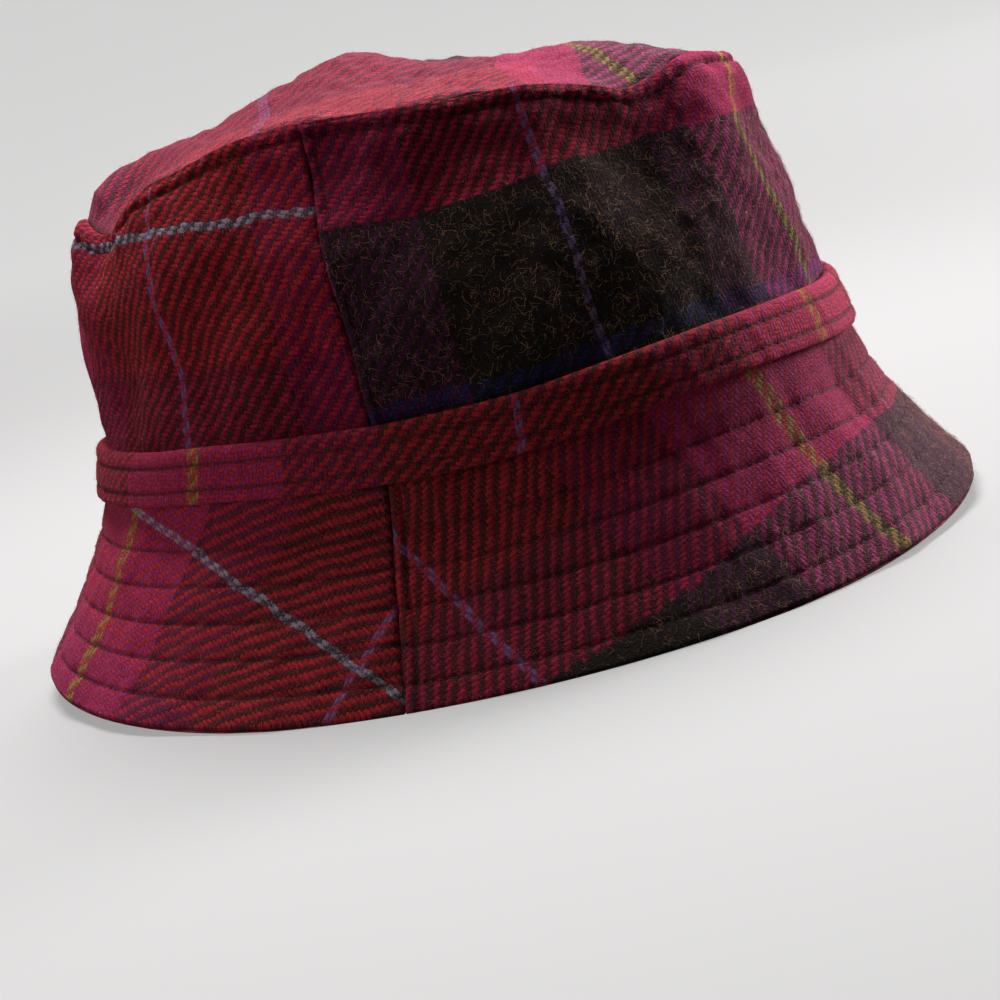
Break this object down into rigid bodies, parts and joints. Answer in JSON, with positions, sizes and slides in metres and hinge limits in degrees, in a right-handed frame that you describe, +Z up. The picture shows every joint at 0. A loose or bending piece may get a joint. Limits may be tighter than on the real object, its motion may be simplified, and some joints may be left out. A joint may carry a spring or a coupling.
{
  "type": "tweed bucket hat",
  "caption": "Soft tweed bucket hat: domed oval crown of sewn panels, narrow band over the head seam and a steep topstitched brim, resting on its brim edge.",
  "frame": {"origin": "on the surface the hat stands on, under the middle of its bounding box", "axes": "+Z up, +Y towards the back of the head, +X towards the wearer's left"},
  "size_m": [0.2146, 0.2502, 0.142],
  "materials": {
    "crown_tweed": "brushed wool twill in a plaid of red, magenta, purple, olive and charcoal",
    "band_tweed": "brushed wool twill, red and charcoal, with two rows of topstitch",
    "brim_tweed": "brushed wool twill, quilted by rows of topstitch that follow the edge",
    "facing_cloth": "brushed wool twill facing under the brim"
  },
  "bodies": {
    "root": {"crown_tip": "crown_tweed", "crown_front": "crown_tweed", "crown_back": "crown_tweed", "band": "band_tweed", "brim_front": "brim_tweed", "brim_back": "brim_tweed", "under_brim_front": "facing_cloth", "under_brim_back": "facing_cloth"}
  },
  "joints": []
}
